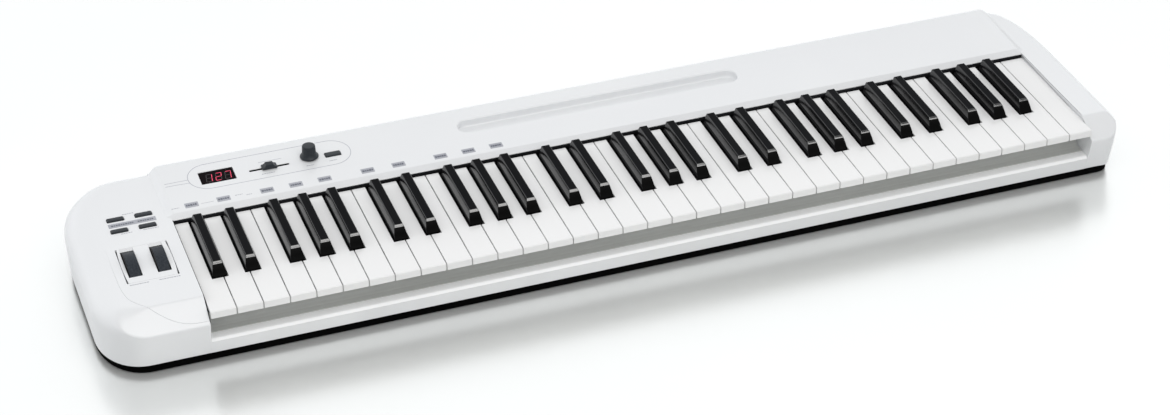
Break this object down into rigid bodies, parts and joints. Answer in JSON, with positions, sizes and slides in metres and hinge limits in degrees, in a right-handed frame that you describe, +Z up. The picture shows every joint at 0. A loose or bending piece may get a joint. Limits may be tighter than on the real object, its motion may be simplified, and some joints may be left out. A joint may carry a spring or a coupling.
{
  "type": "keyboard controller",
  "caption": "Slim white keyboard controller with piano style keys, pitch and modulation wheels, a small display, fader, knob and buttons, and a rest groove along its deck.",
  "frame": {"origin": "centre of the footprint, on the surface the feet stand on", "axes": "+X along the keys towards the high notes, +Y from the player towards the back, +Z up"},
  "size_m": [0.9746, 0.233, 0.078],
  "materials": {
    "shell": "satin pearl white moulded plastic",
    "pan": "fine grained black moulded plastic",
    "steel": "zinc plated pressed steel",
    "board": "green circuit board laminate",
    "window": "smoked red acrylic, polished",
    "rubber": "matte black rubber",
    "wheel_rubber": "dark grey soft touch rubber",
    "dark_plastic": "dark grey satin plastic",
    "ivory": "glossy white key plastic",
    "ebony": "black key plastic, satin top and glossy bevels"
  },
  "bodies": {
    "case": {"top_case": "shell", "bottom_case": "pan", "key_chassis": "steel", "hinge_rod": "steel", "contact_board": "board", "control_board": "board", "wheel_frame": "shell", "display_window": "window", "front_foot_strip": "rubber", "rear_foot_strip": "rubber"},
    "pitch_wheel": {"pitch_wheel": "wheel_rubber"},
    "modulation_wheel": {"modulation_wheel": "wheel_rubber"},
    "fader_cap": {"fader_cap": "dark_plastic"},
    "data_knob": {"data_knob": "dark_plastic"},
    "data_button": {"data_button": "dark_plastic"},
    "octave_down_button": {"octave_down_button": "dark_plastic"},
    "octave_up_button": {"octave_up_button": "dark_plastic"},
    "transpose_down_button": {"transpose_down_button": "dark_plastic"},
    "transpose_up_button": {"transpose_up_button": "dark_plastic"},
    "black_keys_octave_2": {"black_keys_octave_2": "ebony"},
    "black_keys_octave_3": {"black_keys_octave_3": "ebony"},
    "black_keys_octave_4": {"black_keys_octave_4": "ebony"},
    "black_keys_octave_5": {"black_keys_octave_5": "ebony"},
    "black_keys_octave_6": {"black_keys_octave_6": "ebony"},
    "white_key_c2": {"white_key_c2": "ivory"},
    "white_key_d2": {"white_key_d2": "ivory"},
    "white_key_e2": {"white_key_e2": "ivory"},
    "white_key_f2": {"white_key_f2": "ivory"},
    "white_key_g2": {"white_key_g2": "ivory"},
    "white_key_a2": {"white_key_a2": "ivory"},
    "white_key_b2": {"white_key_b2": "ivory"},
    "white_key_c3": {"white_key_c3": "ivory"},
    "white_key_d3": {"white_key_d3": "ivory"},
    "white_key_e3": {"white_key_e3": "ivory"},
    "white_key_f3": {"white_key_f3": "ivory"},
    "white_key_g3": {"white_key_g3": "ivory"},
    "white_key_a3": {"white_key_a3": "ivory"},
    "white_key_b3": {"white_key_b3": "ivory"},
    "white_key_c4": {"white_key_c4": "ivory"},
    "white_key_d4": {"white_key_d4": "ivory"},
    "white_key_e4": {"white_key_e4": "ivory"},
    "white_key_f4": {"white_key_f4": "ivory"},
    "white_key_g4": {"white_key_g4": "ivory"},
    "white_key_a4": {"white_key_a4": "ivory"},
    "white_key_b4": {"white_key_b4": "ivory"},
    "white_key_c5": {"white_key_c5": "ivory"},
    "white_key_d5": {"white_key_d5": "ivory"},
    "white_key_e5": {"white_key_e5": "ivory"},
    "white_key_f5": {"white_key_f5": "ivory"},
    "white_key_g5": {"white_key_g5": "ivory"},
    "white_key_a5": {"white_key_a5": "ivory"},
    "white_key_b5": {"white_key_b5": "ivory"},
    "white_key_c6": {"white_key_c6": "ivory"},
    "white_key_d6": {"white_key_d6": "ivory"},
    "white_key_e6": {"white_key_e6": "ivory"},
    "white_key_f6": {"white_key_f6": "ivory"},
    "white_key_g6": {"white_key_g6": "ivory"},
    "white_key_a6": {"white_key_a6": "ivory"},
    "white_key_b6": {"white_key_b6": "ivory"},
    "white_key_c7": {"white_key_c7": "ivory"}
  },
  "joints": [
    {"name": "pitch_wheel_turn", "type": "hinge", "parent": "case", "child": "pitch_wheel", "pos_m": [-0.4418, -0.0245, 0.03375], "axis": [1, 0, 0], "range_deg": [-30, 30], "stiffness_Nm_per_rad": 0.03},
    {"name": "modulation_wheel_turn", "type": "hinge", "parent": "case", "child": "modulation_wheel", "pos_m": [-0.4161, -0.0245, 0.03375], "axis": [1, 0, 0], "range_deg": [-30, 30]},
    {"name": "fader_slide", "type": "slide", "parent": "case", "child": "fader_cap", "axis": [1, 0, 0], "range_m": [-0.016, 0.016]},
    {"name": "data_knob_turn", "type": "hinge", "parent": "case", "child": "data_knob", "pos_m": [-0.25275, 0.0815, 0.06425], "axis": [0, 0, 1], "continuous": true},
    {"name": "data_button_press", "type": "slide", "parent": "case", "child": "data_button", "axis": [0, 0, -1], "range_m": [0, 0.0008], "stiffness_N_per_m": 500, "springref_m": -0.0012},
    {"name": "octave_down_button_press", "type": "slide", "parent": "case", "child": "octave_down_button", "axis": [0, 0, -1], "range_m": [0, 0.0008], "stiffness_N_per_m": 500, "springref_m": -0.0012},
    {"name": "octave_up_button_press", "type": "slide", "parent": "case", "child": "octave_up_button", "axis": [0, 0, -1], "range_m": [0, 0.0008], "stiffness_N_per_m": 500, "springref_m": -0.0012},
    {"name": "transpose_down_button_press", "type": "slide", "parent": "case", "child": "transpose_down_button", "axis": [0, 0, -1], "range_m": [0, 0.0008], "stiffness_N_per_m": 500, "springref_m": -0.0012},
    {"name": "transpose_up_button_press", "type": "slide", "parent": "case", "child": "transpose_up_button", "axis": [0, 0, -1], "range_m": [0, 0.0008], "stiffness_N_per_m": 500, "springref_m": -0.0012},
    {"name": "black_keys_octave_2_press", "type": "hinge", "parent": "case", "child": "black_keys_octave_2", "pos_m": [-0.3105, 0.0805, 0.0505], "axis": [1, 0, 0], "range_deg": [0, 3.3], "stiffness_Nm_per_rad": 2.5, "springref_deg": -8.59},
    {"name": "black_keys_octave_3_press", "type": "hinge", "parent": "case", "child": "black_keys_octave_3", "pos_m": [-0.146, 0.0805, 0.0505], "axis": [1, 0, 0], "range_deg": [0, 3.3], "stiffness_Nm_per_rad": 2.5, "springref_deg": -8.59},
    {"name": "black_keys_octave_4_press", "type": "hinge", "parent": "case", "child": "black_keys_octave_4", "pos_m": [0.0185, 0.0805, 0.0505], "axis": [1, 0, 0], "range_deg": [0, 3.3], "stiffness_Nm_per_rad": 2.5, "springref_deg": -8.59},
    {"name": "black_keys_octave_5_press", "type": "hinge", "parent": "case", "child": "black_keys_octave_5", "pos_m": [0.183, 0.0805, 0.0505], "axis": [1, 0, 0], "range_deg": [0, 3.3], "stiffness_Nm_per_rad": 2.5, "springref_deg": -8.59},
    {"name": "black_keys_octave_6_press", "type": "hinge", "parent": "case", "child": "black_keys_octave_6", "pos_m": [0.3475, 0.0805, 0.0505], "axis": [1, 0, 0], "range_deg": [0, 3.3], "stiffness_Nm_per_rad": 2.5, "springref_deg": -8.59},
    {"name": "white_key_c2_press", "type": "hinge", "parent": "case", "child": "white_key_c2", "pos_m": [-0.381, 0.0805, 0.0505], "axis": [1, 0, 0], "range_deg": [0, 2.9], "stiffness_Nm_per_rad": 0.7, "springref_deg": -8.59},
    {"name": "white_key_d2_press", "type": "hinge", "parent": "case", "child": "white_key_d2", "pos_m": [-0.3575, 0.0805, 0.0505], "axis": [1, 0, 0], "range_deg": [0, 2.9], "stiffness_Nm_per_rad": 0.7, "springref_deg": -8.59},
    {"name": "white_key_e2_press", "type": "hinge", "parent": "case", "child": "white_key_e2", "pos_m": [-0.334, 0.0805, 0.0505], "axis": [1, 0, 0], "range_deg": [0, 2.9], "stiffness_Nm_per_rad": 0.7, "springref_deg": -8.59},
    {"name": "white_key_f2_press", "type": "hinge", "parent": "case", "child": "white_key_f2", "pos_m": [-0.3105, 0.0805, 0.0505], "axis": [1, 0, 0], "range_deg": [0, 2.9], "stiffness_Nm_per_rad": 0.7, "springref_deg": -8.59},
    {"name": "white_key_g2_press", "type": "hinge", "parent": "case", "child": "white_key_g2", "pos_m": [-0.287, 0.0805, 0.0505], "axis": [1, 0, 0], "range_deg": [0, 2.9], "stiffness_Nm_per_rad": 0.7, "springref_deg": -8.59},
    {"name": "white_key_a2_press", "type": "hinge", "parent": "case", "child": "white_key_a2", "pos_m": [-0.2635, 0.0805, 0.0505], "axis": [1, 0, 0], "range_deg": [0, 2.9], "stiffness_Nm_per_rad": 0.7, "springref_deg": -8.59},
    {"name": "white_key_b2_press", "type": "hinge", "parent": "case", "child": "white_key_b2", "pos_m": [-0.24, 0.0805, 0.0505], "axis": [1, 0, 0], "range_deg": [0, 2.9], "stiffness_Nm_per_rad": 0.7, "springref_deg": -8.59},
    {"name": "white_key_c3_press", "type": "hinge", "parent": "case", "child": "white_key_c3", "pos_m": [-0.2165, 0.0805, 0.0505], "axis": [1, 0, 0], "range_deg": [0, 2.9], "stiffness_Nm_per_rad": 0.7, "springref_deg": -8.59},
    {"name": "white_key_d3_press", "type": "hinge", "parent": "case", "child": "white_key_d3", "pos_m": [-0.193, 0.0805, 0.0505], "axis": [1, 0, 0], "range_deg": [0, 2.9], "stiffness_Nm_per_rad": 0.7, "springref_deg": -8.59},
    {"name": "white_key_e3_press", "type": "hinge", "parent": "case", "child": "white_key_e3", "pos_m": [-0.1695, 0.0805, 0.0505], "axis": [1, 0, 0], "range_deg": [0, 2.9], "stiffness_Nm_per_rad": 0.7, "springref_deg": -8.59},
    {"name": "white_key_f3_press", "type": "hinge", "parent": "case", "child": "white_key_f3", "pos_m": [-0.146, 0.0805, 0.0505], "axis": [1, 0, 0], "range_deg": [0, 2.9], "stiffness_Nm_per_rad": 0.7, "springref_deg": -8.59},
    {"name": "white_key_g3_press", "type": "hinge", "parent": "case", "child": "white_key_g3", "pos_m": [-0.1225, 0.0805, 0.0505], "axis": [1, 0, 0], "range_deg": [0, 2.9], "stiffness_Nm_per_rad": 0.7, "springref_deg": -8.59},
    {"name": "white_key_a3_press", "type": "hinge", "parent": "case", "child": "white_key_a3", "pos_m": [-0.099, 0.0805, 0.0505], "axis": [1, 0, 0], "range_deg": [0, 2.9], "stiffness_Nm_per_rad": 0.7, "springref_deg": -8.59},
    {"name": "white_key_b3_press", "type": "hinge", "parent": "case", "child": "white_key_b3", "pos_m": [-0.0755, 0.0805, 0.0505], "axis": [1, 0, 0], "range_deg": [0, 2.9], "stiffness_Nm_per_rad": 0.7, "springref_deg": -8.59},
    {"name": "white_key_c4_press", "type": "hinge", "parent": "case", "child": "white_key_c4", "pos_m": [-0.052, 0.0805, 0.0505], "axis": [1, 0, 0], "range_deg": [0, 2.9], "stiffness_Nm_per_rad": 0.7, "springref_deg": -8.59},
    {"name": "white_key_d4_press", "type": "hinge", "parent": "case", "child": "white_key_d4", "pos_m": [-0.0285, 0.0805, 0.0505], "axis": [1, 0, 0], "range_deg": [0, 2.9], "stiffness_Nm_per_rad": 0.7, "springref_deg": -8.59},
    {"name": "white_key_e4_press", "type": "hinge", "parent": "case", "child": "white_key_e4", "pos_m": [-0.005, 0.0805, 0.0505], "axis": [1, 0, 0], "range_deg": [0, 2.9], "stiffness_Nm_per_rad": 0.7, "springref_deg": -8.59},
    {"name": "white_key_f4_press", "type": "hinge", "parent": "case", "child": "white_key_f4", "pos_m": [0.0185, 0.0805, 0.0505], "axis": [1, 0, 0], "range_deg": [0, 2.9], "stiffness_Nm_per_rad": 0.7, "springref_deg": -8.59},
    {"name": "white_key_g4_press", "type": "hinge", "parent": "case", "child": "white_key_g4", "pos_m": [0.042, 0.0805, 0.0505], "axis": [1, 0, 0], "range_deg": [0, 2.9], "stiffness_Nm_per_rad": 0.7, "springref_deg": -8.59},
    {"name": "white_key_a4_press", "type": "hinge", "parent": "case", "child": "white_key_a4", "pos_m": [0.0655, 0.0805, 0.0505], "axis": [1, 0, 0], "range_deg": [0, 2.9], "stiffness_Nm_per_rad": 0.7, "springref_deg": -8.59},
    {"name": "white_key_b4_press", "type": "hinge", "parent": "case", "child": "white_key_b4", "pos_m": [0.089, 0.0805, 0.0505], "axis": [1, 0, 0], "range_deg": [0, 2.9], "stiffness_Nm_per_rad": 0.7, "springref_deg": -8.59},
    {"name": "white_key_c5_press", "type": "hinge", "parent": "case", "child": "white_key_c5", "pos_m": [0.1125, 0.0805, 0.0505], "axis": [1, 0, 0], "range_deg": [0, 2.9], "stiffness_Nm_per_rad": 0.7, "springref_deg": -8.59},
    {"name": "white_key_d5_press", "type": "hinge", "parent": "case", "child": "white_key_d5", "pos_m": [0.136, 0.0805, 0.0505], "axis": [1, 0, 0], "range_deg": [0, 2.9], "stiffness_Nm_per_rad": 0.7, "springref_deg": -8.59},
    {"name": "white_key_e5_press", "type": "hinge", "parent": "case", "child": "white_key_e5", "pos_m": [0.1595, 0.0805, 0.0505], "axis": [1, 0, 0], "range_deg": [0, 2.9], "stiffness_Nm_per_rad": 0.7, "springref_deg": -8.59},
    {"name": "white_key_f5_press", "type": "hinge", "parent": "case", "child": "white_key_f5", "pos_m": [0.183, 0.0805, 0.0505], "axis": [1, 0, 0], "range_deg": [0, 2.9], "stiffness_Nm_per_rad": 0.7, "springref_deg": -8.59},
    {"name": "white_key_g5_press", "type": "hinge", "parent": "case", "child": "white_key_g5", "pos_m": [0.2065, 0.0805, 0.0505], "axis": [1, 0, 0], "range_deg": [0, 2.9], "stiffness_Nm_per_rad": 0.7, "springref_deg": -8.59},
    {"name": "white_key_a5_press", "type": "hinge", "parent": "case", "child": "white_key_a5", "pos_m": [0.23, 0.0805, 0.0505], "axis": [1, 0, 0], "range_deg": [0, 2.9], "stiffness_Nm_per_rad": 0.7, "springref_deg": -8.59},
    {"name": "white_key_b5_press", "type": "hinge", "parent": "case", "child": "white_key_b5", "pos_m": [0.2535, 0.0805, 0.0505], "axis": [1, 0, 0], "range_deg": [0, 2.9], "stiffness_Nm_per_rad": 0.7, "springref_deg": -8.59},
    {"name": "white_key_c6_press", "type": "hinge", "parent": "case", "child": "white_key_c6", "pos_m": [0.277, 0.0805, 0.0505], "axis": [1, 0, 0], "range_deg": [0, 2.9], "stiffness_Nm_per_rad": 0.7, "springref_deg": -8.59},
    {"name": "white_key_d6_press", "type": "hinge", "parent": "case", "child": "white_key_d6", "pos_m": [0.3005, 0.0805, 0.0505], "axis": [1, 0, 0], "range_deg": [0, 2.9], "stiffness_Nm_per_rad": 0.7, "springref_deg": -8.59},
    {"name": "white_key_e6_press", "type": "hinge", "parent": "case", "child": "white_key_e6", "pos_m": [0.324, 0.0805, 0.0505], "axis": [1, 0, 0], "range_deg": [0, 2.9], "stiffness_Nm_per_rad": 0.7, "springref_deg": -8.59},
    {"name": "white_key_f6_press", "type": "hinge", "parent": "case", "child": "white_key_f6", "pos_m": [0.3475, 0.0805, 0.0505], "axis": [1, 0, 0], "range_deg": [0, 2.9], "stiffness_Nm_per_rad": 0.7, "springref_deg": -8.59},
    {"name": "white_key_g6_press", "type": "hinge", "parent": "case", "child": "white_key_g6", "pos_m": [0.371, 0.0805, 0.0505], "axis": [1, 0, 0], "range_deg": [0, 2.9], "stiffness_Nm_per_rad": 0.7, "springref_deg": -8.59},
    {"name": "white_key_a6_press", "type": "hinge", "parent": "case", "child": "white_key_a6", "pos_m": [0.3945, 0.0805, 0.0505], "axis": [1, 0, 0], "range_deg": [0, 2.9], "stiffness_Nm_per_rad": 0.7, "springref_deg": -8.59},
    {"name": "white_key_b6_press", "type": "hinge", "parent": "case", "child": "white_key_b6", "pos_m": [0.418, 0.0805, 0.0505], "axis": [1, 0, 0], "range_deg": [0, 2.9], "stiffness_Nm_per_rad": 0.7, "springref_deg": -8.59},
    {"name": "white_key_c7_press", "type": "hinge", "parent": "case", "child": "white_key_c7", "pos_m": [0.4415, 0.0805, 0.0505], "axis": [1, 0, 0], "range_deg": [0, 2.9], "stiffness_Nm_per_rad": 0.7, "springref_deg": -8.59}
  ]
}
